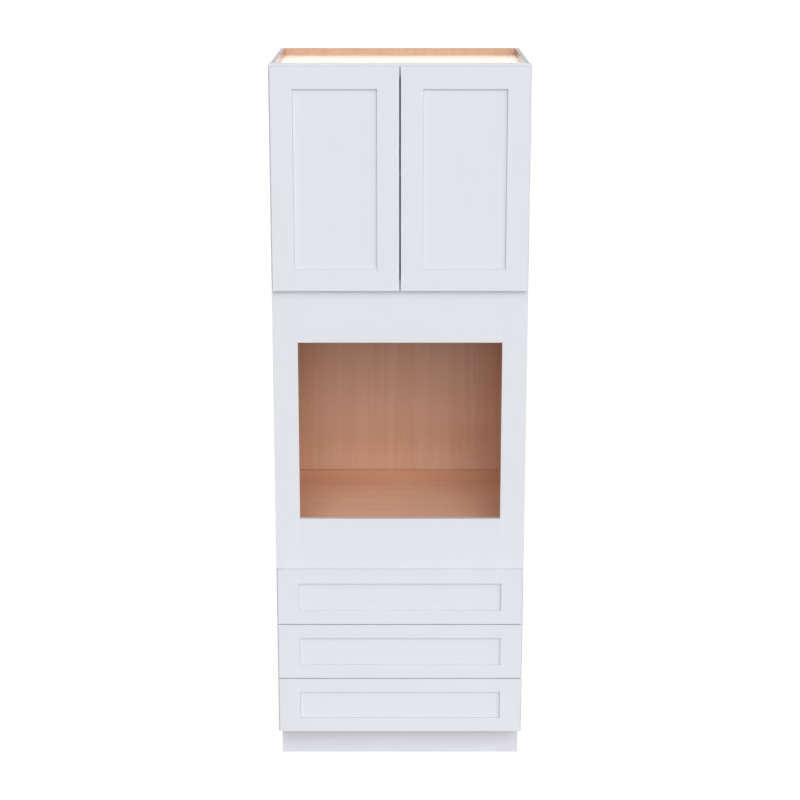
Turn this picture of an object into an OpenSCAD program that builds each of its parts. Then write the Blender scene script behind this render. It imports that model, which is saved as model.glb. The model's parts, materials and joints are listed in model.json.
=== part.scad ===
// Tall oven cabinet with a face frame: two framed doors over an oven opening, three drawers below.
// Millimetres. The floor is z = 0, the doors face -Y, and x = 0 is the middle of the cabinet.
// Depths in the modules are counted back from the front plane of the face frame.

/* [Cabinet] */
// Width over the face frame
cab_w = 838.2; // [720:1:960]
// Height from the floor to the top of the face frame
cab_h = 2405; // [2130:1:2500]
// Depth from the front of the face frame to the back
cab_d = 609.6; // [600:1:660]
// How far the face frame stands out past each side panel
frame_overhang = 6.35; // [3:0.5:9]
// Height of the toe space
toe_h = 114.3; // [90:1:130]
// Depth of the toe space
toe_recess = 76.2; // [60:1:90]
// How far the top panel lies below the top edge
top_drop = 22; // [15:1:40]

/* [Sheet goods] */
// Thickness of the side panels
side_t = 12.7; // [10:0.1:19]
// Thickness of the back panel
back_t = 12.7; // [6:0.1:16]
// Thickness of the top panel, the cupboard floor and the bottom panel
deck_t = 12.7; // [10:0.1:19]
// Thickness of the board that carries the oven
oven_shelf_t = 19.05; // [16:0.1:25]
// Thickness of the adjustable shelf
shelf_t = 15.9; // [12:0.1:19]
// Thickness of the toe kick board
toe_t = 12.7; // [6:0.1:16]
// Thickness of the nailing rails and of the strip behind the oven
nailer_t = 12.7; // [10:0.1:19]
// Height of the nailing rails
nailer_h = 76; // [60:1:100]

/* [Face frame] */
// Thickness of the frame members
frame_t = 19.05; // [16:0.1:22]
// Width of the two long stiles
stile_w = 38.1; // [34:0.1:44]
// Width of the rails between the drawers
drawer_rail_w = 38.1; // [32:0.1:44]
// How far doors and drawer fronts lap over the rails
rail_lap = 33.5; // [25:0.5:38]

/* [Oven opening] */
// Width of the short stiles that narrow the face frame to the opening
oven_stile_w = 44; // [30:0.5:80]
// Height of the opening
oven_h = 609.6; // [560:1:650]
// Width of the rail left bare between the opening and the doors
upper_rail_bare = 177; // [100:1:260]
// Width of the rail left bare between the opening and the drawers
lower_rail_bare = 175.4; // [100:1:260]
// How far the oven board lies below the lower edge
oven_board_drop = 49; // [35:1:60]
// How far the strip behind the board ends below the lower edge
strip_drop = 5.5; // [0:0.5:20]
// Section of the cleats under the oven board
cleat_w = 19.05; // [15:0.1:25]
// Height of those cleats
cleat_h = 38.1; // [30:0.1:50]

/* [Framed fronts] */
// Thickness of doors and drawer fronts
front_t = 19.05; // [18:0.1:22]
// Gap that the bumpers hold between the fronts and the face frame
front_gap = 2.5; // [2:0.1:3]
// Depth of the recessed panel behind the front plane
panel_recess = 7.95; // [5:0.05:9]
// Thickness of the recessed panel
panel_t = 6.35; // [4:0.05:7]
// Depth of the grooves that hold the panel
groove_d = 9.5; // [6:0.1:12]
// Room left for the panel to move in its grooves
panel_slack = 0.8; // [0.2:0.1:1]
// Reveal between the fronts and the outer edge of the face frame
side_reveal = 4.3; // [1:0.1:6]

/* [Doors] */
// Width of the face frame left bare above the doors
top_reveal = 7.5; // [6:0.5:14]
// Gap between the two doors
door_gap = 4.8; // [2:0.1:6]
// Width of the door stiles
door_stile_w = 72; // [64:0.5:90]
// Width of the door rails
door_rail_w = 72; // [60:0.5:90]

/* [Hinges] */
// Diameter of the hinge cup
cup_dia = 35; // [30:0.5:36]
// Depth of the hinge cup in the door
cup_depth = 11.5; // [10:0.1:12]
// Distance of the cup centre from the outer edge of the door
cup_in = 24.5; // [24:0.1:26]
// Wall of the cup
cup_wall = 1.2; // [0.8:0.1:1.7]
// Distance of the hinges from the ends of the door
hinge_end = 92; // [80:1:140]
// Thickness of the hinge arm and its plate
arm_t = 1.8; // [1.2:0.1:2.2]
// Width of the hinge arm
arm_w = 14; // [10:0.5:15]
// Height of the hinge plate on the stile
plate_h = 50; // [40:1:60]
// Distance of the hinge plate from both faces of the stile
plate_inset = 1; // [0.5:0.1:3]
// How deep in the back of the door the arm runs
arm_sink = 3.2; // [2.4:0.1:4]
// How far the arm reaches past the cup centre
arm_reach = 1; // [0:0.5:4]
// Room on each side of the arm in its slot in the cup
arm_clear = 1.5; // [1:0.1:3]
// Width of the cup flange
flange_w = 20; // [16:0.5:24]
// Height of the cup flange
flange_h = 52; // [46:1:60]
// Thickness of the cup flange
flange_t = 1.1; // [0.8:0.1:1.4]

/* [Drawers] */
// Height of each drawer front
drawer_front_h = 194.4; // [185:0.1:196]
// Gap between neighbouring drawer fronts
drawer_gap = 3; // [2:0.1:5]
// Width of the face frame left bare below the lowest front
bottom_reveal = 7.5; // [4:0.5:12]
// Width of the rails of the drawer fronts
drawer_front_rail_w = 49; // [40:0.5:60]
// Height of the drawer boxes
box_h = 120; // [100:1:122]
// Length of the drawer boxes
box_l = 533.4; // [480:1:560]
// Thickness of the drawer box sides and ends
box_t = 12.7; // [10:0.1:16]
// Thickness of the drawer bottoms
box_bottom_t = 6.35; // [5:0.05:9]
// Width of the dovetails at their roots
tail_w = 22; // [16:0.5:26]
// How much wider the dovetails are at their tips, on each side
tail_flare = 2.2; // [1.5:0.1:3]
// Height of the groove above the lower edge of the drawer box
box_groove_z = 12; // [8:0.5:16]
// Clearance under the drawer boxes in their openings
box_clear = 10; // [8:0.5:12]

/* [Drawer slides] */
// Thickness of a closed slide
slide_t = 12.7; // [12:0.1:14]
// Height of the fixed slide member
slide_h = 45; // [40:0.5:48]
// Length of the slides
slide_l = 533.4; // [480:1:550]
// Thickness of the slide steel
slide_steel = 1.2; // [1:0.05:1.4]
// Running clearance between slide members
slide_fit = 0.4; // [0.3:0.05:0.6]
// How far the slides lie back from the front of the face frame
slide_inset = 2; // [1:0.5:4]
// How much shorter the moving members are than the fixed ones
member_short = 6; // [4:0.5:10]
// Room between the web of the fixed member and the web of the runner
web_gap = 2; // [1.6:0.1:2.4]
// Reach of the lips of the fixed member from the stile
rail_lip = 9; // [8:0.1:10]
// Reach of the lips of the runner
runner_lip = 7.4; // [6:0.1:8]
// Reach of the lips of the drawer member
member_lip = 6.2; // [5:0.1:7]
// Height of the spacer strips behind the slides
spacer_h = 60; // [50:1:70]

/* [Fasteners] */
// Radius of the screw heads
screw_head_r = 3.6; // [3:0.1:4]
// Radius of the screw shanks
screw_r = 1.7; // [1.4:0.1:2]
// Length of the screws in the wood
screw_l = 14; // [10:0.5:16]
// Radius of the shelf pins
pin_r = 2.5; // [2.4:0.05:3]
// Length of the shelf pins
pin_l = 16; // [14:0.5:20]
// Radius of the wall screw holes in the nailing rails
wall_hole_r = 2.75; // [2.5:0.05:4]
// Distance between the wall screw holes
wall_hole_pitch = 609.6; // [500:1:640]
// Thickness of the screw heads
screw_head_t = 1.4; // [1:0.1:1.8]
// Distance of the first and the last screw from the ends of a slide
screw_end = 40; // [30:1:60]
// Radius of the bumpers
bumper_r = 4; // [3:0.5:5]
// How much thinner the bumpers are than the gap that they fill
bumper_slack = 0.2; // [0.1:0.05:0.4]
// Distance of the bumpers from the meeting edges of the doors
bumper_in = 14; // [10:0.5:20]
// Distance of the bumpers from the lower and upper edges of the drawer fronts
bumper_end = 18; // [12:0.5:30]

/* [Hidden] */
$fn = 48;

PAINT = [0.89, 0.90, 0.92];
WOOD = [0.84, 0.66, 0.52];
PLY = [0.80, 0.70, 0.56];
STEEL = [0.72, 0.73, 0.75];
CLEAR = [0.92, 0.93, 0.94];

// A cut runs this far past the faces it opens
past = 1;

// The front plane of the face frame, with the middle of the whole depth at y = 0
front_reach = front_gap + front_t;
face_y = -(cab_d - front_reach) / 2;

// Carcass
frame_x = cab_w / 2;
side_x = frame_x - frame_overhang;
inner_x = side_x - side_t;
open_x = frame_x - stile_w;
back_y = cab_d - back_t;
top_z = cab_h - top_drop;
bottom_rail_top = toe_h + bottom_reveal + rail_lap;

// Framed fronts
front_x = frame_x - side_reveal;
front_y0 = -front_reach;
front_y1 = -front_gap;
panel_y = front_y0 + panel_recess;

// Drawers, counted from the top, 0 to 2
drawer_step = drawer_front_h + drawer_gap;
drawers_z = toe_h + bottom_reveal;
function front_z(i) = drawers_z + (2 - i) * drawer_step;
function opening_z(i) = i == 2 ? bottom_rail_top : front_z(i) - drawer_gap / 2 + drawer_rail_w / 2;
function box_z(i) = opening_z(i) + box_clear;
function slide_z(i) = box_z(i) + box_h / 2;
drawers_top = front_z(0) + drawer_front_h;
lower_rail_z = drawers_top - rail_lap;
box_x = open_x - slide_t;
box_y0 = front_y1;
box_y1 = box_y0 + box_l;
box_groove_d = box_t / 2;
tail_n = 3;

// Oven opening
oven_x = open_x - oven_stile_w;
oven_sill = drawers_top + lower_rail_bare;
oven_top = oven_sill + oven_h;
board_z = oven_sill - oven_board_drop;
strip_y = back_y - nailer_t;

// Doors and the cupboard behind them
door_top = cab_h - top_reveal;
door_bottom = oven_top + upper_rail_bare;
cupboard_z = door_bottom + rail_lap;
top_rail_z = door_top - rail_lap;

// Shelf and its pins
pin_out = pin_l / 2;
shelf_end_gap = 1;
shelf_back_gap = 2;
shelf_front_gap = 25;
shelf_z = (cupboard_z + top_rail_z) / 2;
pin_row_step = 64;
pin_rows = 2;
pin_inset = 60;
pin_fit = 0.05;

// Slide members, from the wood inwards
member_l = slide_l - member_short;
mid_h = slide_h - 2 * (slide_steel + slide_fit);
in_h = mid_h - 2 * (slide_steel + slide_fit);
runner_inset = 2;
runner_x = open_x - slide_steel - web_gap;
screw_row = [screw_end, slide_l / 2, slide_l - screw_end];

// Hinges
hinge_z = [door_bottom + hinge_end, door_top - hinge_end];
cup_x = front_x - cup_in;
arm_y = front_y1 - arm_sink;
cup_fit = 0.05;
slot_past = 1;

// Nailing rails: the upper one under the top panel, the lower one under the cupboard floor
nailer_z = [top_z - deck_t - nailer_h, cupboard_z - deck_t - nailer_h];

// A board between two corners, with its depths counted back from the face frame
module board(x0, x1, y0, y1, z0, z1) {
    translate([x0, face_y + y0, z0]) cube([x1 - x0, y1 - y0, z1 - z0]);
}

// Round bars along x and y
module bar_x(x0, x1, y, z, r) {
    translate([x0, face_y + y, z]) rotate([0, 90, 0]) cylinder(h = x1 - x0, r = r);
}

module bar_y(x, y0, y1, z, r) {
    translate([x, face_y + y1, z]) rotate([90, 0, 0]) cylinder(h = y1 - y0, r = r);
}

module both_sides() {
    children();
    mirror([1, 0, 0]) children();
}

// Side panel on the right, notched over the toe kick board, with the rows of shelf pin holes
module side_panel() {
    difference() {
        board(inner_x, side_x, frame_t, cab_d, 0, cab_h);
        board(inner_x - past, side_x + past, frame_t - past, toe_recess + toe_t, -past, toe_h);
        for (y = pin_columns(), k = [-pin_rows : pin_rows])
            bar_x(inner_x - past, inner_x + pin_out, y, shelf_pin_z() + k * pin_row_step, pin_r);
    }
}

function pin_columns() = [frame_t + pin_inset, back_y - pin_inset];
function shelf_pin_z() = shelf_z - pin_r;

module side_panel_left() {
    color(PAINT) mirror([1, 0, 0]) side_panel();
}

module side_panel_right() {
    color(PAINT) side_panel();
}

module wall_holes(y0, y1) {
    for (z = nailer_z, s = [-1, 1])
        bar_y(s * wall_hole_pitch / 2, y0, y1, z + nailer_h / 2, wall_hole_r);
}

module back_panel() {
    color(WOOD) difference() {
        board(-inner_x, inner_x, back_y, cab_d, 0, cab_h);
        wall_holes(back_y - past, cab_d + past);
    }
}

module top_panel() {
    color(WOOD) board(-inner_x, inner_x, frame_t, back_y, top_z - deck_t, top_z);
}

module cupboard_floor() {
    color(WOOD) board(-inner_x, inner_x, frame_t, back_y, cupboard_z - deck_t, cupboard_z);
}

module adjustable_shelf() {
    x = inner_x - shelf_end_gap;
    color(WOOD) board(-x, x, frame_t + shelf_front_gap, back_y - shelf_back_gap, shelf_z, shelf_z + shelf_t);
}

module shelf_pins() {
    color(STEEL) both_sides() for (y = pin_columns())
        bar_x(inner_x - pin_out, inner_x + pin_out - pin_fit, y, shelf_pin_z(), pin_r - pin_fit);
}

module hanging_rails() {
    color(WOOD) difference() {
        for (z = nailer_z) board(-inner_x, inner_x, back_y - nailer_t, back_y, z, z + nailer_h);
        wall_holes(back_y - nailer_t - past, back_y + past);
    }
}

module oven_shelf() {
    color(WOOD) board(-inner_x, inner_x, frame_t, strip_y, board_z - oven_shelf_t, board_z);
}

module oven_shelf_cleats() {
    z = board_z - oven_shelf_t;
    color(PLY) both_sides() board(inner_x - cleat_w, inner_x, frame_t, strip_y, z - cleat_h, z);
}

// The low strip across the back, behind the oven board and a little below the sill of the opening
module oven_back_strip() {
    color(WOOD) board(-inner_x, inner_x, strip_y, back_y, board_z - oven_shelf_t, oven_sill - strip_drop);
}

module bottom_panel() {
    color(WOOD) board(-inner_x, inner_x, frame_t, back_y, bottom_rail_top - deck_t, bottom_rail_top);
}

module toe_kick() {
    color(PAINT) board(-side_x, side_x, toe_recess, toe_recess + toe_t, 0, toe_h);
}

// Face frame
module face_stile() {
    color(PAINT) board(open_x, frame_x, 0, frame_t, toe_h, cab_h);
}

module face_rail(z0, z1) {
    color(PAINT) board(-open_x, open_x, 0, frame_t, z0, z1);
}

module oven_stiles() {
    color(PAINT) both_sides() board(oven_x, open_x, 0, frame_t, oven_sill, oven_top);
}

module drawer_rails() {
    for (i = [0, 1]) face_rail(opening_z(i) - drawer_rail_w, opening_z(i));
}

// Members of a framed front that spans x0 to x1 and z0 to z1
module front_stile(x0, x1, z0, z1, groove_x) {
    difference() {
        board(x0, x1, front_y0, front_y1, z0, z1);
        board(groove_x - groove_d, groove_x + groove_d, panel_y, panel_y + panel_t, z0 - past, z1 + past);
    }
}

module front_rail(x0, x1, z0, z1, groove_z) {
    difference() {
        union() {
            board(x0, x1, front_y0, front_y1, z0, z1);
            board(x0 - groove_d, x1 + groove_d, panel_y, panel_y + panel_t, z0, z1);
        }
        board(x0 - groove_d - past, x1 + groove_d + past, panel_y, panel_y + panel_t,
            groove_z - groove_d, groove_z + groove_d);
    }
}

module front_rails(x0, x1, z0, z1, stile, rail) {
    color(PAINT) {
        front_rail(x0 + stile, x1 - stile, z0, z0 + rail, z0 + rail);
        front_rail(x0 + stile, x1 - stile, z1 - rail, z1, z1 - rail);
    }
}

module front_panel(x0, x1, z0, z1, stile, rail) {
    dx = stile - groove_d + panel_slack;
    dz = rail - groove_d + panel_slack;
    color(PAINT) board(x0 + dx, x1 - dx, panel_y, panel_y + panel_t, z0 + dz, z1 - dz);
}

// Door on the right, hung at its outer edge
module door_hinge_stile() {
    x = front_x - door_stile_w;
    color(PAINT) difference() {
        front_stile(x, front_x, door_bottom, door_top, x);
        for (z = hinge_z) bar_y(cup_x, front_y1 - cup_depth, front_y1 + past, z, cup_dia / 2);
    }
}

module door_lock_stile() {
    x = door_gap / 2 + door_stile_w;
    color(PAINT) front_stile(door_gap / 2, x, door_bottom, door_top, x);
}

module door_rails() {
    front_rails(door_gap / 2, front_x, door_bottom, door_top, door_stile_w, door_rail_w);
}

module door_panel() {
    front_panel(door_gap / 2, front_x, door_bottom, door_top, door_stile_w, door_rail_w);
}

// Hinge cups, each a pressed bowl with a flange, slotted on the side of the arm
module door_hinge_cups() {
    r = cup_dia / 2 - cup_fit;
    slot = arm_w / 2 + arm_clear;
    rim = front_y1 + flange_t;
    color(STEEL) for (z = hinge_z) {
        difference() {
            union() {
                bar_y(cup_x, front_y1 - cup_depth + cup_fit, front_y1, z, r);
                board(cup_x - flange_w / 2, cup_x + flange_w / 2, front_y1, rim, z - flange_h / 2, z + flange_h / 2);
                bar_y(cup_x, front_y1, rim, z, r + cup_wall);
            }
            bar_y(cup_x, front_y1 - cup_depth + cup_wall, rim + past, z, r - cup_wall);
            board(cup_x, cup_x + cup_dia, arm_y - arm_t - slot_past, rim + past, z - slot, z + slot);
        }
    }
}

// Hinge arms on the inner edges of the long stiles, cranked forward into the cups
module hinge_arms() {
    color(STEEL) both_sides() for (z = hinge_z) {
        board(open_x - arm_t, open_x, plate_inset, frame_t - plate_inset, z - plate_h / 2, z + plate_h / 2);
        board(open_x - arm_t, open_x, arm_y - arm_t, plate_inset, z - arm_w / 2, z + arm_w / 2);
        board(open_x, cup_x + arm_reach, arm_y - arm_t, arm_y, z - arm_w / 2, z + arm_w / 2);
    }
}

// Drawers
module drawer_front_stiles(i) {
    x = front_x - door_stile_w;
    color(PAINT) both_sides() front_stile(x, front_x, front_z(i), front_z(i) + drawer_front_h, x);
}

module drawer_front_rails(i) {
    z = front_z(i);
    front_rails(-front_x, front_x, z, z + drawer_front_h, door_stile_w, drawer_front_rail_w);
}

module drawer_front_panel(i) {
    z = front_z(i);
    front_panel(-front_x, front_x, z, z + drawer_front_h, door_stile_w, drawer_front_rail_w);
}

module box_groove(i) {
    z = box_z(i) + box_groove_z;
    x = box_x - box_t + box_groove_d;
    board(-x, x, box_y0 + box_t - box_groove_d, box_y1 - box_t + box_groove_d, z, z + box_bottom_t);
}

// Dovetails on the box sides, from their roots at y0 to their tips at y1
module tails(i, y0, y1) {
    tip = tail_w / 2 + tail_flare;
    root = tail_w / 2;
    both_sides() for (k = [0 : tail_n - 1])
        translate([box_x - box_t, face_y, box_z(i) + (k + 0.5) * box_h / tail_n])
            rotate([90, 0, 90]) linear_extrude(box_t)
                polygon([[y0, -root], [y1, -tip], [y1, tip], [y0, root]]);
}

module box_tails(i) {
    tails(i, box_y0 + box_t, box_y0);
    tails(i, box_y1 - box_t, box_y1);
}

module drawer_box_sides(i) {
    z = box_z(i);
    color(PLY) difference() {
        union() {
            both_sides() board(box_x - box_t, box_x, box_y0 + box_t, box_y1 - box_t, z, z + box_h);
            box_tails(i);
        }
        box_groove(i);
    }
}

module drawer_box_ends(i) {
    z = box_z(i);
    color(PLY) difference() {
        for (y = [box_y0, box_y1 - box_t]) board(-box_x, box_x, y, y + box_t, z, z + box_h);
        box_tails(i);
        box_groove(i);
    }
}

module drawer_box_bottom(i) {
    color(PLY) box_groove(i);
}

// A slide member is a steel channel: its back at x_back, its lips reaching to x_lip
module channel(x_back, x_web, x_lip, y0, y1, z, h) {
    board(min(x_back, x_web), max(x_back, x_web), y0, y1, z - h / 2, z + h / 2);
    board(min(x_back, x_lip), max(x_back, x_lip), y0, y1, z - h / 2, z - h / 2 + slide_steel);
    board(min(x_back, x_lip), max(x_back, x_lip), y0, y1, z + h / 2 - slide_steel, z + h / 2);
}

module slide_rails() {
    color(STEEL) both_sides() for (i = [0, 1, 2]) difference() {
        channel(open_x, open_x - slide_steel, open_x - rail_lip,
            slide_inset, slide_inset + slide_l, slide_z(i), slide_h);
        slide_screw_shanks(i);
    }
}

module drawer_runners(i) {
    y = slide_inset + runner_inset;
    color(STEEL) both_sides()
        channel(runner_x, runner_x - slide_steel, runner_x - runner_lip, y, y + member_l, slide_z(i), mid_h);
}

module drawer_slide_members(i) {
    color(STEEL) both_sides()
        channel(box_x, box_x + slide_steel, box_x + member_lip,
            slide_inset, slide_inset + member_l, slide_z(i), in_h);
}

module slide_screw_shanks(i) {
    for (y = screw_row)
        bar_x(open_x - slide_steel - past, open_x + screw_l, slide_inset + y, slide_z(i), screw_r);
}

module slide_screws() {
    color(STEEL) both_sides() for (i = [0, 1, 2], y = screw_row) {
        bar_x(open_x - slide_steel - screw_head_t, open_x - slide_steel, slide_inset + y, slide_z(i), screw_head_r);
        bar_x(open_x - slide_steel, open_x + screw_l, slide_inset + y, slide_z(i), screw_r);
    }
}

// Strips that fill out the side panels to the inner edges of the stiles
module slide_spacers() {
    h = spacer_h / 2;
    color(PLY) both_sides() for (i = [0, 1, 2]) difference() {
        board(open_x, inner_x, frame_t, back_y, slide_z(i) - h, slide_z(i) + h);
        slide_screw_shanks(i);
    }
}

// Soft dots on the face frame behind the corners of each front
module bumpers() {
    t = front_gap - bumper_slack;
    color(CLEAR) both_sides() {
        for (z = [top_rail_z + rail_lap / 2, cupboard_z - rail_lap / 2])
            bar_y(door_gap / 2 + bumper_in, -t, 0, z, bumper_r);
        for (i = [0, 1, 2], z = [front_z(i) + bumper_end, front_z(i) + drawer_front_h - bumper_end])
            bar_y(frame_x - stile_w / 2, -t, 0, z, bumper_r);
    }
}

side_panel_left();
side_panel_right();
back_panel();
top_panel();
cupboard_floor();
adjustable_shelf();
shelf_pins();
hanging_rails();
oven_shelf();
oven_shelf_cleats();
oven_back_strip();
bottom_panel();
toe_kick();

mirror([1, 0, 0]) face_stile();  // face_stile_left
face_stile();  // face_stile_right
face_rail(top_rail_z, cab_h);  // top_rail
face_rail(oven_top, cupboard_z);  // upper_oven_rail
face_rail(lower_rail_z, oven_sill);  // lower_oven_rail
oven_stiles();
drawer_rails();
face_rail(toe_h, bottom_rail_top);  // bottom_rail

hinge_arms();
slide_spacers();
slide_rails();
slide_screws();
bumpers();

mirror([1, 0, 0]) door_hinge_stile();  // door_left_hinge_stile
mirror([1, 0, 0]) door_lock_stile();  // door_left_lock_stile
mirror([1, 0, 0]) door_rails();  // door_left_rails
mirror([1, 0, 0]) door_panel();  // door_left_panel
mirror([1, 0, 0]) door_hinge_cups();  // door_left_hinge_cups
door_hinge_stile();  // door_right_hinge_stile
door_lock_stile();  // door_right_lock_stile
door_rails();  // door_right_rails
door_panel();  // door_right_panel
door_hinge_cups();  // door_right_hinge_cups

drawer_front_stiles(0);  // upper_drawer_front_stiles
drawer_front_rails(0);  // upper_drawer_front_rails
drawer_front_panel(0);  // upper_drawer_front_panel
drawer_box_sides(0);  // upper_drawer_box_sides
drawer_box_ends(0);  // upper_drawer_box_ends
drawer_box_bottom(0);  // upper_drawer_box_bottom
drawer_slide_members(0);  // upper_drawer_slide_members
drawer_runners(0);  // upper_drawer_runners

drawer_front_stiles(1);  // middle_drawer_front_stiles
drawer_front_rails(1);  // middle_drawer_front_rails
drawer_front_panel(1);  // middle_drawer_front_panel
drawer_box_sides(1);  // middle_drawer_box_sides
drawer_box_ends(1);  // middle_drawer_box_ends
drawer_box_bottom(1);  // middle_drawer_box_bottom
drawer_slide_members(1);  // middle_drawer_slide_members
drawer_runners(1);  // middle_drawer_runners

drawer_front_stiles(2);  // lower_drawer_front_stiles
drawer_front_rails(2);  // lower_drawer_front_rails
drawer_front_panel(2);  // lower_drawer_front_panel
drawer_box_sides(2);  // lower_drawer_box_sides
drawer_box_ends(2);  // lower_drawer_box_ends
drawer_box_bottom(2);  // lower_drawer_box_bottom
drawer_slide_members(2);  // lower_drawer_slide_members
drawer_runners(2);  // lower_drawer_runners
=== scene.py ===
import json
import math
import bmesh
import bpy
import numpy as np
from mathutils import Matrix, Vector


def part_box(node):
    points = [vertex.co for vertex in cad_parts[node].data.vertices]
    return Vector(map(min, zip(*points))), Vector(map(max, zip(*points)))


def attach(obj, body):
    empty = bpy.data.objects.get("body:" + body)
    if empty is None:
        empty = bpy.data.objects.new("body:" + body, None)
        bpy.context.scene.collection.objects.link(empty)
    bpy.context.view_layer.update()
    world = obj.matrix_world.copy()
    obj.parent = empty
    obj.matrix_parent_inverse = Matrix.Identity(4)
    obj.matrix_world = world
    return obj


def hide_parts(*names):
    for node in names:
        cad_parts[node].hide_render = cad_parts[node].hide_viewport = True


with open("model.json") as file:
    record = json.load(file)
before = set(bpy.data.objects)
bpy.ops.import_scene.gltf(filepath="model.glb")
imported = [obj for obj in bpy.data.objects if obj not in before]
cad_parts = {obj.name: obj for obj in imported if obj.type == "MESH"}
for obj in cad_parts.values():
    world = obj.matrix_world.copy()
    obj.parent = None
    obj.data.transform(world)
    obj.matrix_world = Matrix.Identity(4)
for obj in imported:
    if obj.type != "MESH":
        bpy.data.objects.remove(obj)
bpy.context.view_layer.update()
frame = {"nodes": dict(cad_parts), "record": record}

# Camera
# The photograph was taken from 6.26 m in front of the face frame and 2.95 m above the floor, straight in
# front of the cabinet, looking down by 14.7 degrees through a long lens.
face_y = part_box("top_rail")[0].y
camera_distance, camera_height, camera_pitch = 6.25509, 2.94672, 14.74
camera_data = bpy.data.cameras.new("camera")
camera_data.sensor_width = 36
camera_data.lens = 87.78
camera = bpy.data.objects.new("camera", camera_data)
camera.location = (0, face_y - camera_distance, camera_height)
camera.rotation_euler = (math.radians(90 - camera_pitch), 0, 0)
bpy.context.collection.objects.link(camera)
bpy.context.scene.camera = camera

# Side panels
# Plywood sheets from the floor to the top, painted white outside and veneered inside, with two columns of
# holes for the shelf pins. Their top edges are a darker grey, painted shade for faces that look up, and the
# other sawn edges show plies.
MM = 0.001
NEAR = 0.01 * MM
smooth_turn = 0.5
rides = {node: body for body, nodes in frame["record"]["behaviour"]["bodies"].items() for node in nodes}


def linear(colour):
    """An sRGB hex colour as linear red, green and blue, with full alpha."""
    srgb = np.array([int(colour[i:i + 2], 16) for i in (0, 2, 4)]) / 255
    rgb = np.where(srgb <= 0.04045, srgb / 12.92, ((srgb + 0.055) / 1.055) ** 2.4)
    return (*rgb.tolist(), 1.0)


def add(tree, kind, inputs, **settings):
    """Adds a node, gives it its settings, and sets or links its inputs by name or number."""
    made = tree.nodes.new("ShaderNode" + kind)
    for name, value in settings.items():
        setattr(made, name, value)
    for name, value in inputs.items():
        if isinstance(value, bpy.types.NodeSocket):
            tree.links.new(value, made.inputs[name])
        else:
            made.inputs[name].default_value = value
    return made


def new_material(name, **uniform):
    """A new material, its node tree and its shader. Numbers that are the same all over are set on the shader
    by the socket's name, with _ for a space."""
    material = bpy.data.materials.new(name)
    material.use_nodes = True
    shader = material.node_tree.nodes["Principled BSDF"]
    for socket, value in uniform.items():
        shader.inputs[socket.replace("_", " ")].default_value = value
    return material, material.node_tree, shader


def sprayed_paint(name, light, dark):
    """Two-part paint sprayed on maple and fibreboard: an even matt film that pools into a fine orange peel of
    about 1.5 mm, drawn here at 5 mm, with a hardly visible drift in tone over half a metre."""
    material, tree, shader = new_material(name, Roughness=0.6, Specular_IOR_Level=0.2)
    place = add(tree, "TexCoord", {}).outputs["Object"]
    drift = add(tree, "TexNoise", {"Vector": place, "Scale": 1 / (500 * MM), "Detail": 2.0})
    tone = add(tree, "Mix", {0: drift.outputs[0], 6: linear(dark), 7: linear(light)}, data_type="RGBA")
    tree.links.new(tone.outputs[2], shader.inputs["Base Color"])
    peel = add(tree, "TexNoise", {"Vector": place, "Scale": 1 / (5 * MM), "Detail": 1.0})
    bump = add(tree, "Bump", {"Height": peel.outputs[0], "Strength": 0.12, "Distance": 0.4 * MM})
    tree.links.new(bump.outputs[0], shader.inputs["Normal"])
    return material


def veneer(name, grain, light, dark, streak=14 * MM, roughness=0.22, coat=0.0):
    """Veneer with a clear finish on plywood, its grain along one axis: streaks some 14 mm wide, fibres of 2
    mm and the figure of a peeled log, 110 mm wide with six rings, all drawn out 28 times along the grain. The
    fibres stand up a little. A coat of 1 is a thick lacquer."""
    material, tree, shader = new_material(name, Roughness=roughness, Coat_Weight=coat,
                                          Coat_Roughness=roughness)
    place = add(tree, "TexCoord", {}).outputs["Object"]
    along = [1.0, 1.0, 1.0]
    along["xyz".index(grain)] = 1 / 28
    drawn = add(tree, "Mapping", {"Vector": place, "Scale": along}).outputs[0]
    streaks = add(tree, "TexNoise", {"Vector": drawn, "Scale": 1 / streak, "Detail": 3.0, "Roughness": 0.55})
    fibres = add(tree, "TexNoise", {"Vector": drawn, "Scale": 1 / (2 * MM), "Detail": 2.0})
    figure = add(tree, "TexNoise", {"Vector": drawn, "Scale": 1 / (110 * MM), "Detail": 1.0,
                                    "Distortion": 1.2})
    rings = add(tree, "Math", {0: figure.outputs[0], 1: 6.0}, operation="MULTIPLY")
    wave = add(tree, "Math", {0: rings.outputs[0], 1: 1.0}, operation="PINGPONG")
    first = add(tree, "Mix", {0: 0.3, 2: streaks.outputs[0], 3: wave.outputs[0]})
    second = add(tree, "Mix", {0: 0.22, 2: first.outputs[0], 3: fibres.outputs[0]})
    tone = add(tree, "MapRange", {"Value": second.outputs[0], "From Min": 0.28, "From Max": 0.72})
    colour = add(tree, "Mix", {0: tone.outputs[0], 6: linear(dark), 7: linear(light)}, data_type="RGBA")
    tree.links.new(colour.outputs[2], shader.inputs["Base Color"])
    bump = add(tree, "Bump", {"Height": fibres.outputs[0], "Strength": 0.15, "Distance": 0.2 * MM})
    tree.links.new(bump.outputs[0], shader.inputs["Normal"])
    return material


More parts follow.
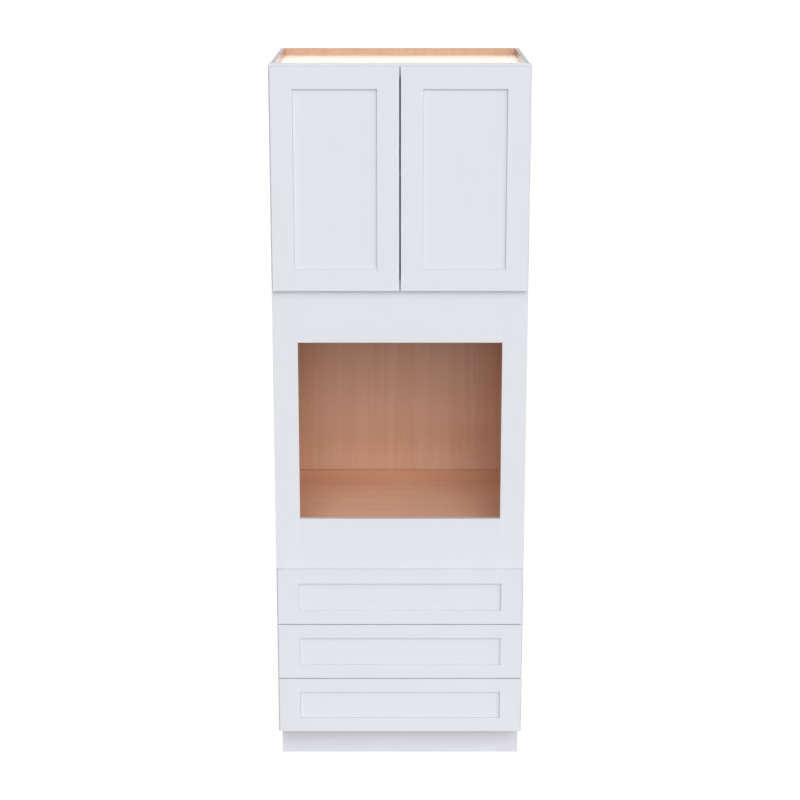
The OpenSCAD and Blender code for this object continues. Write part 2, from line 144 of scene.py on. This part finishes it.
def cut_plies(name, across, light, dark, ply=1.4 * MM):
    """The sawn edge of birch plywood: plies of 1.4 mm lie across one axis, long grain and end grain in turn,
    so that every other one is darker, with fine saw marks."""
    material, tree, shader = new_material(name, Roughness=0.75)
    place = add(tree, "TexCoord", {}).outputs["Object"]
    apart = add(tree, "SeparateXYZ", {"Vector": place}).outputs["xyz".index(across)]
    count = add(tree, "Math", {0: apart, 1: 1 / ply}, operation="MULTIPLY")
    wave = add(tree, "Math", {0: count.outputs[0], 1: 1.0}, operation="PINGPONG")
    fibres = add(tree, "TexNoise", {"Vector": place, "Scale": 1 / (1.5 * MM), "Detail": 2.0})
    mixed = add(tree, "Mix", {0: 0.4, 2: wave.outputs[0], 3: fibres.outputs[0]})
    colour = add(tree, "Mix", {0: mixed.outputs[0], 6: linear(dark), 7: linear(light)}, data_type="RGBA")
    tree.links.new(colour.outputs[2], shader.inputs["Base Color"])
    return material


def joined(node):
    """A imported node's mesh with its loose triangles joined into whole flat faces."""
    solid = bmesh.new()
    solid.from_mesh(frame["nodes"][node].data)
    bmesh.ops.remove_doubles(solid, verts=solid.verts, dist=NEAR / 10)
    bmesh.ops.dissolve_limit(solid, angle_limit=math.radians(1), verts=solid.verts, edges=solid.edges)
    return solid


def solid_boxes(node, by_front=False):
    """The lowest and highest corners of each separate solid of a node, from left to right. By its front face,
    a rail counts without the tongues at its ends, which reach into the grooves of the stiles."""
    solid = joined(node)
    left, boxes = set(solid.verts), []
    while left:
        found, grown = set(), {left.pop()}
        while grown:
            found |= grown
            grown = {edge.other_vert(vert) for vert in grown for edge in vert.link_edges} - found
        left -= found
        corners = np.array([vert.co for vert in found])
        low, high = corners.min(0), corners.max(0)
        if by_front:
            face = corners[corners[:, 1] < low[1] + NEAR]
            low[::2], high[::2] = face.min(0)[::2], face.max(0)[::2]
        boxes.append((low, high))
    solid.free()
    return sorted(boxes, key=lambda box: box[0].tolist())


def eased_copy(node, materials, outer=0.5 * MM, inner=None, group=()):
    """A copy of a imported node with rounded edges. Where it is glued up with others, it is cut at the levels
    where they end. Edges on the box round the whole group are rounded to the outer radius, and bare ones
    inside it to the inner one, which is the same if not given. Edges that a neighbour covers stay sharp, so
    that no joint shows under the paint. In the front and back planes the neighbour covers only with its front
    face, not with its tongues. An edge that turns by less than half a radian is smooth already."""
    inner = inner or outer
    around = [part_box(name) for name in group or (node,)]
    sides = [np.min([low for low, high in around], 0), np.max([high for low, high in around], 0)]
    whole, fronts = ([box for name in group if name != node for box in solid_boxes(name, by_front)]
                     for by_front in (False, True))
    low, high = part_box(node)
    solid = joined(node)
    for axis in (0, 2):
        for level in {round(float(corner[axis]), 6) for box in fronts for corner in box}:
            if low[axis] + NEAR < level < high[axis] - NEAR:
                plane = np.eye(3)[axis]
                everything = solid.verts[:] + solid.edges[:] + solid.faces[:]
                bmesh.ops.bisect_plane(solid, geom=everything, dist=NEAR / 10, plane_co=plane * level,
                                       plane_no=plane)
    weight = solid.edges.layers.float.new("bevel_weight_edge")
    for edge in solid.edges:
        edge.smooth = edge.calc_face_angle(0) < smooth_turn
        middle = np.mean([vert.co for vert in edge.verts], 0)
        in_face = any(all(abs(vert.co.y - side[1]) < NEAR for vert in edge.verts) for side in sides)
        covered = any((middle > near - NEAR).all() and (middle < far + NEAR).all()
                      for near, far in (fronts if in_face else whole))
        if edge.smooth or covered or not edge.is_convex:
            continue
        edge.smooth = True
        planes = sum(all(abs(vert.co[axis] - side[axis]) < NEAR for vert in edge.verts)
                     for side in sides for axis in range(3))
        edge[weight] = (outer if planes > 1 else inner) / max(outer, inner)
    mesh = bpy.data.meshes.new(node + "_finished")
    solid.to_mesh(mesh)
    solid.free()
    mesh.polygons.foreach_set("use_smooth", np.ones(len(mesh.polygons), bool))
    for material in materials:
        mesh.materials.append(material)
    piece = bpy.data.objects.new(node + "_finished", mesh)
    bpy.context.collection.objects.link(piece)
    bevel = piece.modifiers.new("eased_edges", "BEVEL")
    bevel.limit_method = "WEIGHT"
    bevel.width = max(outer, inner)
    bevel.segments = 3
    bevel.use_clamp_overlap = False
    shading = piece.modifiers.new("flat_faces", "WEIGHTED_NORMAL")
    shading.keep_sharp = True
    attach(piece, rides[node])
    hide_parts(node)
    return piece


def assign(piece, choose):
    """Gives each face the material whose number the rule works out from the faces' normals. A face looks
    along an axis where its normal reaches over 0.9 that way."""
    faces = piece.data.polygons
    normals = np.empty(len(faces) * 3)
    faces.foreach_get("normal", normals)
    faces.foreach_set("material_index", np.asarray(choose(normals.reshape(-1, 3)), int))


white_paint = sprayed_paint("white_two_part_paint", "E5E7EC", "E3E5EA")
# Painted shade: the side panels' up-facing top edges are grey, darker than the white because those faces look
# up.
top_edge_painted_shade = sprayed_paint("grey_top_edge_painted_shade", "CFD2D8", "C8CCD2")
side_veneer = veneer("side_birch_veneer", "z", "E3B69A", "DBAA8D", roughness=0.12)
side_plies = cut_plies("side_panel_plies", "x", "D8B48C", "B98F68")
for side, sign in (("left", -1), ("right", 1)):
    panel = eased_copy("side_panel_" + side, [white_paint, side_veneer, top_edge_painted_shade, side_plies])
    assign(panel, lambda normal: np.select(
        [normal[:, 0] * sign > 0.9, normal[:, 0] * sign < -0.9, normal[:, 2] > 0.9], [0, 1, 2], 3))

# Back panel
# One sheet of plywood between the side panels, with the grain upright, finished in front and raw behind. Four
# clearance holes for the wall screws go through it.
upright_veneer = veneer("upright_birch_veneer", "z", "DDB196", "D5A589")
raw_veneer = veneer("raw_birch_veneer", "z", "DDBF9C", "CDA982", roughness=0.7)
back_plies = cut_plies("back_panel_plies", "y", "D8B48C", "B98F68")
back = eased_copy("back_panel", [upright_veneer, raw_veneer, back_plies])
assign(back, lambda normal: np.select([normal[:, 1] < -0.9, normal[:, 1] > 0.9], [0, 1], 2))

# Top panel
# It closes the cupboard a little below the top edge. Its upper face is a veneer made paler than the other
# birch, painted light that brightens the top, under a thick lacquer, which mirrors the white room when seen
# from the front.
level_veneer = veneer("level_birch_veneer", "x", "E3B69A", "DBAA8D")
# Painted light: the top panel's veneer is paler than the other birch so that the top looks brighter.
top_painted_light_veneer = veneer("top_birch_painted_light", "x", "EEDDC4", "E4D0B3", roughness=0.4, coat=1.0)
top = eased_copy("top_panel", [top_painted_light_veneer, level_veneer])
assign(top, lambda normal: normal[:, 2] <= 0.9)

# Cupboard floor, shelf and bottom panel
# Veneered sheets that lie between the side panels with their grain from side to side. The shelf is loose, and
# rests on four steel pins.
for node in ("cupboard_floor", "bottom_panel", "adjustable_shelf"):
    eased_copy(node, [level_veneer])

# Nailing rails
# Two plywood strips against the back panel, one under the top panel and one under the cupboard floor. The
# wall screws go through the two holes in each.
eased_copy("hanging_rails", [level_veneer])

# Oven bay
# The thick board that carries the oven, the strip across the back behind it, and the cleats screwed to the
# side panels under it. The board's veneer is paler than the other birch, painted light for the light it lacks
# inside the bay, and the strip's is darker and redder, painted shade for the shadow at the back of the bay.
# Painted light: the bay board's veneer is made paler than the other birch to make up for the light it lacks.
bay_board_painted_light_veneer = veneer("bay_board_birch_painted_light", "x", "F1C5A8", "EABC9D")
# Painted shade: the back strip's veneer is made darker and redder for the shadow at the back of the bay.
strip_painted_shade_veneer = veneer("strip_birch_painted_shade", "x", "D4A183", "CE997A", roughness=0.4)
birch = veneer("planed_birch", "y", "E4CBA2", "D3B284", streak=9 * MM, roughness=0.4)
eased_copy("oven_shelf", [bay_board_painted_light_veneer])
eased_copy("oven_back_strip", [strip_painted_shade_veneer])
eased_copy("oven_shelf_cleats", [birch], 0.8 * MM)

# Toe kick
# A painted board that stands on the floor, set back under the face frame. The side panels are notched over
# its ends.
eased_copy("toe_kick", [white_paint])

# Face frame
# Maple stiles and rails, joined with pocket screws from behind, then filled, sanded and painted as one, so
# that no joint shows in front.
face_frame = ("face_stile_left", "face_stile_right", "top_rail", "upper_oven_rail", "lower_oven_rail",
              "oven_stiles", "drawer_rails", "bottom_rail")
for node in face_frame:
    eased_copy(node, [white_paint], 1.0 * MM, 0.8 * MM, face_frame)

# Doors
# Five-piece shaker doors: square-edged stiles and rails with a flat panel in their grooves, painted all over.
# The panel floats, so a fine dark channel is left all round it.
front_radius = 1.4 * MM
channel_wide, channel_deep = 0.9 * MM, 1.5 * MM


def float_panel(panel):
    """Sets back the rim of a panel's front face, which leaves the channel between its field and the frame."""
    solid = bmesh.new()
    solid.from_mesh(panel.data)
    field = max((face for face in solid.faces if face.normal.y < -0.9), key=lambda face: face.calc_area())
    front = field.verts[0].co.y
    plane = [vert for vert in solid.verts if abs(vert.co.y - front) < NEAR]
    bmesh.ops.translate(solid, verts=plane, vec=(0, channel_deep, 0))
    bmesh.ops.inset_individual(solid, faces=[field], thickness=channel_wide)
    raised = bmesh.ops.extrude_discrete_faces(solid, faces=[field])["faces"][0]
    bmesh.ops.translate(solid, verts=raised.verts[:], vec=(0, -channel_deep, 0))
    for edge in solid.edges:
        edge.smooth = edge.calc_face_angle(0) < smooth_turn
    solid.to_mesh(panel.data)
    solid.free()


for side in ("left", "right"):
    door = [f"door_{side}_{part}" for part in ("hinge_stile", "lock_stile", "rails", "panel")]
    *_, panel = [eased_copy(node, [white_paint], front_radius, group=door) for node in door]
    float_panel(panel)

# Drawer fronts
# Five-piece fronts made as the doors are, from narrower stiles and rails, and painted with them. Each is held
# to its drawer box from behind.
drawers = ("upper", "middle", "lower")
for drawer in drawers:
    front = [f"{drawer}_drawer_front_{part}" for part in ("stiles", "rails", "panel")]
    *_, panel = [eased_copy(node, [white_paint], front_radius, group=front) for node in front]
    float_panel(panel)

# Drawer boxes
# Sides and ends of planed birch, dovetailed at the corners and clear-coated, with a thin plywood bottom in a
# groove. The ends of the tails and pins show their darker end grain.
cross_birch = veneer("planed_birch_across", "x", "E4CBA2", "D3B284", streak=9 * MM, roughness=0.4)
side_end_grain = veneer("birch_end_grain", "y", "C9A679", "AE865A", streak=3 * MM, roughness=0.6)
end_end_grain = veneer("birch_end_grain_across", "x", "C9A679", "AE865A", streak=3 * MM, roughness=0.6)
for drawer in drawers:
    box_sides = eased_copy(drawer + "_drawer_box_sides", [birch, side_end_grain], 0.4 * MM)
    assign(box_sides, lambda normal: abs(normal[:, 1]) > 0.9)
    box_ends = eased_copy(drawer + "_drawer_box_ends", [cross_birch, end_end_grain], 0.4 * MM)
    assign(box_ends, lambda normal: abs(normal[:, 0]) > 0.9)
    eased_copy(drawer + "_drawer_box_bottom", [cross_birch], 0.3 * MM)

# Hinges
# Concealed cup hinges pressed from steel. A plate screwed to the edge of the stile carries the arm, and the
# cup is pressed into the back of the door and held by two flush screws. The nickel plating is bright and a
# little warm.
plate_screw_up, flange_screw_up = 18 * MM, 21 * MM
plate_head, arm_head, flange_head = (3.4 * MM, 1.2 * MM), (2.8 * MM, 0.8 * MM), (3.2 * MM, 0.25 * MM)
flange_head_sunk = 0.05 * MM
cross_wide, cross_deep, cross_reach = 1.0 * MM, 0.8 * MM, 0.6


def clouded(name, light, dark, patch, **uniform):
    """A finish with no grain, such as plating, whose tone drifts a little between patches of one size."""
    material, tree, shader = new_material(name, **uniform)
    place = add(tree, "TexCoord", {}).outputs["Object"]
    cloud = add(tree, "TexNoise", {"Vector": place, "Scale": 1 / patch, "Detail": 2.0})
    tone = add(tree, "Mix", {0: cloud.outputs[0], 6: linear(dark), 7: linear(light)}, data_type="RGBA")
    tree.links.new(tone.outputs[2], shader.inputs["Base Color"])
    return material


def new_piece(name, shells, material, node):
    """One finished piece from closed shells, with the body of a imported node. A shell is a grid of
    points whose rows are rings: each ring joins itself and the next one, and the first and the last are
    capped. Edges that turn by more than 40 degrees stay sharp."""
    points, faces, start = [], [], 0
    for rings in shells:
        rows, columns = rings.shape[:2]
        row, column = np.meshgrid(np.arange(rows - 1), np.arange(columns), indexing="ij")
        following = (column + 1) % columns
        corners = [row * columns + column, row * columns + following,
                   (row + 1) * columns + following, (row + 1) * columns + column]
        faces += (np.stack(corners, -1).reshape(-1, 4) + start).tolist()
        faces += [list(range(start, start + columns)),
                  list(range(start + (rows - 1) * columns, start + rows * columns))]
        points.append(rings.reshape(-1, 3))
        start += rows * columns
    mesh = bpy.data.meshes.new(name)
    mesh.from_pydata(np.concatenate(points).tolist(), [], faces)
    shell = bmesh.new()
    shell.from_mesh(mesh)
    bmesh.ops.recalc_face_normals(shell, faces=shell.faces)
    for edge in shell.edges:
        edge.smooth = edge.calc_face_angle(0) < math.radians(40)
    shell.to_mesh(mesh)
    shell.free()
    mesh.polygons.foreach_set("use_smooth", np.ones(len(mesh.polygons), bool))
    mesh.materials.append(material)
    piece = bpy.data.objects.new(name, mesh)
    bpy.context.collection.objects.link(piece)
    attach(piece, rides[node])
    return piece


def square_to(facing):
    """Two directions square to the given one and to each other."""
    facing = np.asarray(facing, float)
    first = np.array([0.0, 0.0, 1.0]) if abs(facing[2]) < 0.9 else np.array([1.0, 0.0, 0.0])
    return first, np.cross(facing, first)


def turned(centre, facing, profile, count=24):
    """A turned shape: each pair in the profile is a distance along the direction and a ring's radius."""
    first, second = square_to(facing)
    along, radius = np.array(profile).T[:, :, None, None]
    turn = (np.arange(count) * 2 * math.pi / count)[None, :, None]
    ring = radius * (np.cos(turn) * first + np.sin(turn) * second)
    return np.asarray(centre) + along * np.asarray(facing) + ring


def screw_head(place, facing, radius, rise, count=32):
    """A head on a polar grid: its height falls from the middle to the rim as a quarter of an ellipse, less
    the depth of the recess inside the two arms of the cross, which reach a share of the radius."""
    first, second = square_to(facing)
    share = np.array([0.04, 0.12, 0.2, 0.35, 0.5, 0.58, 0.64, 0.8, 0.92, 1.0, 1.0])[:, None]
    turn = (np.arange(count) * 2 * math.pi / count)[None, :]
    across, up = radius * share * np.cos(turn), radius * share * np.sin(turn)
    height = rise * np.sqrt(1 - 0.9 * share**2) + 0 * turn
    height -= cross_deep * ((np.minimum(abs(across), abs(up)) < cross_wide / 2) & (share < cross_reach))
    height[-1] = 0
    return (np.asarray(place) + across[..., None] * first + up[..., None] * second
            + height[..., None] * np.asarray(facing))


nickel = clouded("nickel_plated_steel", "CBC9C3", "B9B7B0", 12 * MM, Metallic=1.0, Roughness=0.24)
eased_copy("hinge_arms", [nickel], 0.4 * MM)
stile_middle = (face_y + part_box("face_stile_right")[1].y) / 2
plate_screws, arm_screws = [], []
for low, high in solid_boxes("hinge_arms"):
    inwards = (-1.0, 0.0, 0.0) if low[0] > 0 else (1.0, 0.0, 0.0)
    inner_face = low[0] if low[0] > 0 else high[0]
    level = (low[2] + high[2]) / 2
    for up in (-plate_screw_up, plate_screw_up):
        plate_screws.append(screw_head((inner_face, stile_middle, level + up), inwards, *plate_head))
    arm_screws.append(screw_head((inner_face, (face_y + low[1]) / 2, level), inwards, *arm_head))
new_piece("hinge_plate_screws", plate_screws, nickel, "hinge_arms")
new_piece("hinge_setting_screws", arm_screws, nickel, "hinge_arms")
for side in ("left", "right"):
    cups = f"door_{side}_hinge_cups"
    eased_copy(cups, [nickel], 0.3 * MM)
    flange_screws = []
    for low, high in solid_boxes(cups):
        middle = (low + high) / 2
        for up in (-flange_screw_up, flange_screw_up):
            seat = (middle[0], high[1] - flange_head_sunk, middle[2] + up)
            flange_screws.append(screw_head(seat, (0.0, 1.0, 0.0), *flange_head))
    new_piece(f"door_{side}_flange_screws", flange_screws, nickel, cups)

# Drawer slides
# Ball-bearing slides in three rolled steel channels. The lips of each are rolled to a race, and the balls run
# between them in two cages on the middle channel, which travels half as far as the drawer. The zinc plating
# is duller and bluer than nickel, and the bare balls are bright.
strip_thick = 1.2 * MM
ball_radius, ball_pitch = 1.5 * MM, 12 * MM
cage_wide, cage_thick, cage_end = 2.2 * MM, 0.3 * MM, 5 * MM
outer_race, inner_race = (6.2 * MM, 19.8 * MM), (9.2 * MM, 17.7 * MM)
fixed_half = [(0.6, 0), (0.6, 19.6), (1.1, 21.3), (2.4, 21.9), (6.2, 21.9), (7.4, 21.5), (7.9, 20.9)]
runner_half = [(3.8, 0), (3.8, 15.9), (4.3, 17.3), (5.4, 17.7), (6.4, 17.7), (7.4, 18.6), (8.3, 19.5),
               (9.2, 19.8), (10.0, 19.2)]
drawer_half = [(12.1, 0), (12.1, 14.0), (11.6, 15.2), (10.4, 15.6), (9.2, 15.6), (8.2, 16.0), (7.6, 16.5)]
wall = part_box("slide_rails")[1].x
zinc = clouded("zinc_plated_steel", "C6CACE", "AEB3B8", 20 * MM, Metallic=1.0, Roughness=0.34)
ball_steel = clouded("bearing_ball_steel", "D6D7D8", "C9CBCD", 2 * MM, Metallic=1.0, Roughness=0.12)


def rolled_channels(node, half):
    """A channel along y for each solid of a node. Its middle line is a smooth cubic through the points of one
    half and their mirror image, in millimetres from the stile and from mid-height, and half the thickness is
    set off to both sides."""
    points = np.array([(away, -up) for away, up in half[:0:-1]] + half) * MM
    ends = np.vstack([2 * points[:1] - points[1:2], points, 2 * points[-1:] - points[-2:-1]])
    a, b, c, d = (ends[i:len(ends) - 3 + i, None, :] for i in range(4))
    step = np.linspace(0, 1, 4, endpoint=False)[None, :, None]
    line = 0.5 * (2 * b + (c - a) * step + (2 * a - 5 * b + 4 * c - d) * step**2
                  + (3 * b - a - 3 * c + d) * step**3)
    line = np.vstack([line.reshape(-1, 2), points[-1:]])
    tangent = np.gradient(line, axis=0)
    tangent /= np.linalg.norm(tangent, axis=1, keepdims=True)
    offset = np.column_stack([-tangent[:, 1], tangent[:, 0]]) * strip_thick / 2
    outline = np.vstack([line + offset, (line - offset)[::-1]])
    channels = []
    for low, high in solid_boxes(node):
        ring = np.column_stack([np.sign(low[0]) * (wall - outline[:, 0]), np.zeros(len(outline)),
                                (low[2] + high[2]) / 2 + outline[:, 1]])
        channels.append(np.stack([ring + (0, y, 0) for y in (low[1], high[1])]))
    return channels


def ball_cages(node):
    """Balls every 12 mm along the races of each runner, above and below, and the thin strips that space them.
    The outer race holds them behind the runner's middle and the inner one before it."""
    polar = np.linspace(0.15, math.pi - 0.15, 7)
    profile = np.column_stack([-np.cos(polar), np.sin(polar)]) * ball_radius
    section = np.array([(-cage_wide, 0, -cage_thick), (cage_wide, 0, -cage_thick),
                        (cage_wide, 0, cage_thick), (-cage_wide, 0, cage_thick)]) / 2
    balls, strips = [], []
    for low, high in solid_boxes(node):
        middle = (low + high) / 2
        for (away, up), front, back in ((outer_race, middle[1], high[1]), (inner_race, low[1], middle[1])):
            first, last = front + ball_pitch, back - ball_pitch / 2
            for rise in (-up, up):
                race = np.array([np.sign(low[0]) * (wall - away), 0, middle[2] + rise])
                balls += [turned(race + (0, y, 0), (0.0, 0.0, 1.0), profile, 10)
                          for y in np.arange(first, last, ball_pitch)]
                strips.append(np.stack([race + section + (0, y, 0) for y in (first - cage_end, last)]))
    return balls, strips


rails = new_piece("slide_rails_finished", rolled_channels("slide_rails", fixed_half), zinc, "slide_rails")
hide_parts("slide_rails")
for drawer in drawers:
    runners, members = drawer + "_drawer_runners", drawer + "_drawer_slide_members"
    for node, half in ((runners, runner_half), (members, drawer_half)):
        channels = new_piece(node + "_finished", rolled_channels(node, half), zinc, node)
        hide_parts(node)
    balls, strips = ball_cages(runners)
    new_piece(drawer + "_drawer_balls", balls, ball_steel, runners)
    new_piece(drawer + "_drawer_ball_cages", strips, zinc, runners)
spacer_birch = veneer("spacer_birch", "y", "DDBF9C", "CDA982", streak=9 * MM, roughness=0.7)
eased_copy("slide_spacers", [spacer_birch])

# Slide screws
# Pan-head screws with a cross recess, zinc plated. They go through the fixed channels into the spacers and
# end in a short point.
pan_head = (3.6 * MM, 1.3 * MM)
shank_radius, tip_radius, point_long = 1.7 * MM, 0.3 * MM, 3 * MM
shells = []
for low, high in solid_boxes("slide_screws"):
    middle = (low + high) / 2
    outwards = np.sign(middle[0])
    seat = (outwards * (wall - strip_thick), middle[1], middle[2])
    length = max(abs(low[0]), abs(high[0])) - (wall - strip_thick)
    shells.append(screw_head(seat, (-outwards, 0.0, 0.0), *pan_head))
    shells.append(turned(seat, (outwards, 0.0, 0.0), [
        (0, shank_radius), (length - point_long, shank_radius), (length, tip_radius)]))
screws = new_piece("slide_screws_finished", shells, zinc, "slide_screws")
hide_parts("slide_screws")

# Shelf pins
# Turned steel pins, nickel plated, pushed into their holes for half their length, with a thin collar against
# the side panel and a rounded end under the shelf.
panel_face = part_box("side_panel_right")[0].x
shells = []
for low, high in solid_boxes("shelf_pins"):
    middle = (low + high) / 2
    outwards = np.sign(middle[0])
    radius = (high[2] - low[2]) / 2
    ends = sorted(abs(np.array([low[0], high[0]])))
    out, sunk = panel_face - ends[0], ends[1] - panel_face
    shells.append(turned((outwards * panel_face, middle[1], middle[2]), (-outwards, 0.0, 0.0), [
        (-sunk, radius - 0.6 * MM), (0.6 * MM - sunk, radius), (0, radius), (0, 1.5 * radius),
        (0.6 * MM, 1.5 * radius), (0.8 * MM, 1.4 * radius), (0.8 * MM, radius), (out - 1 * MM, radius),
        (out - 0.3 * MM, 0.85 * radius), (out, 0.4 * radius)]))
pins = new_piece("shelf_pins_finished", shells, nickel, "shelf_pins")
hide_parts("shelf_pins")

# Bumpers
# Domed dots of soft clear polyurethane, stuck to the face frame behind the corners of each front. They look
# pale and glossy, and let a little light through. Their outline is a quarter circle with a fuller shoulder.
dome_turn = 1.35
clear = clouded("clear_polyurethane", "DFE2E5", "D6DADE", 3 * MM,
                Roughness=0.2, Transmission_Weight=0.2, IOR=1.5)
shells = []
for low, high in solid_boxes("bumpers"):
    middle, rise, radius = (low + high) / 2, high[1] - low[1], (high[0] - low[0]) / 2
    bulge = np.linspace(0, dome_turn, 7)
    profile = np.column_stack([np.sin(bulge) * rise / math.sin(dome_turn), radius * np.cos(bulge)**0.6])
    shells.append(turned((middle[0], high[1], middle[2]), (0.0, -1.0, 0.0), profile))
dots = new_piece("bumpers_finished", shells, clear, "bumpers")
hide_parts("bumpers")

# Floor, backdrop and light
# A plain white floor and an even white surround, with large soft lamps in front, some high up and some to the
# right. The backdrop is brighter than white where the clear coat mirrors it.
white = (1.0, 1.0, 1.0, 1.0)
reach = 60.0
floor_mesh = bpy.data.meshes.new("floor")
floor_mesh.from_pydata([(-reach, -reach, 0), (reach, -reach, 0), (reach, reach, 0), (-reach, reach, 0)], [],
                       [(0, 1, 2, 3)])
floor = bpy.data.objects.new("floor", floor_mesh)
bpy.context.collection.objects.link(floor)
floor_finish, tree, shader = new_material("white_floor", Roughness=0.9)
shader.inputs["Base Color"].default_value = linear("D9D9DB")
seen = add(tree, "LightPath", {})
to_eye = seen.outputs["Is Camera Ray"]
for ray in ("Is Glossy Ray", "Is Transmission Ray"):
    to_eye = add(tree, "Math", {0: to_eye, 1: seen.outputs[ray]}, operation="MAXIMUM").outputs[0]
share = add(tree, "Math", {0: to_eye, 1: 0.9}, operation="MULTIPLY")
glow = add(tree, "Emission", {"Color": white, "Strength": 1.08})
both = add(tree, "MixShader", {0: share.outputs[0], 1: shader.outputs[0], 2: glow.outputs[0]})
tree.links.new(both.outputs[0], tree.nodes["Material Output"].inputs["Surface"])
floor_mesh.materials.append(floor_finish)

world = bpy.data.worlds.new("studio")
bpy.context.scene.world = world
world.use_nodes = True
tree = world.node_tree
tree.nodes.clear()
seen = add(tree, "LightPath", {})
eye, glass = seen.outputs["Is Camera Ray"], seen.outputs["Is Transmission Ray"]
to_eye = add(tree, "Math", {0: eye, 1: glass}, operation="MAXIMUM").outputs[0]
surround = add(tree, "Background", {"Color": white, "Strength": 0.2})
mirrored = add(tree, "Background", {"Color": white, "Strength": 1.8})
backdrop = add(tree, "Background", {"Color": white, "Strength": 1.0})
first_hit = add(tree, "Math", {0: seen.outputs["Diffuse Depth"], 1: 0.5}, operation="LESS_THAN").outputs[0]
to_mirror = add(tree, "Math", {0: seen.outputs["Is Glossy Ray"], 1: first_hit}, operation="MULTIPLY")
both = add(tree, "MixShader", {0: to_mirror.outputs[0], 1: surround.outputs[0], 2: mirrored.outputs[0]})
both = add(tree, "MixShader", {0: to_eye, 1: both.outputs[0], 2: backdrop.outputs[0]})
add(tree, "OutputWorld", {"Surface": both.outputs[0]})

lamp_spread = math.radians(50)
for name, azimuth, elevation, energy in (
        ("low_front_softbox", 0, 0, 0.26), ("front_softbox", 0, 30, 1.1), ("high_front_softbox", 0, 50, 0.55),
        ("low_right_softbox", 30, 15, 0.42), ("side_softbox", 60, 15, 0.64)):
    lamp_data = bpy.data.lights.new(name, "SUN")
    lamp_data.energy = energy
    lamp_data.angle = lamp_spread
    lamp = bpy.data.objects.new(name, lamp_data)
    turn, rise = math.radians(azimuth), math.radians(elevation)
    towards = Vector((math.sin(turn) * math.cos(rise), -math.cos(turn) * math.cos(rise), math.sin(rise)))
    lamp.rotation_euler = towards.to_track_quat("Z", "Y").to_euler()
    bpy.context.collection.objects.link(lamp)

bpy.context.scene.view_settings.view_transform = "Standard"
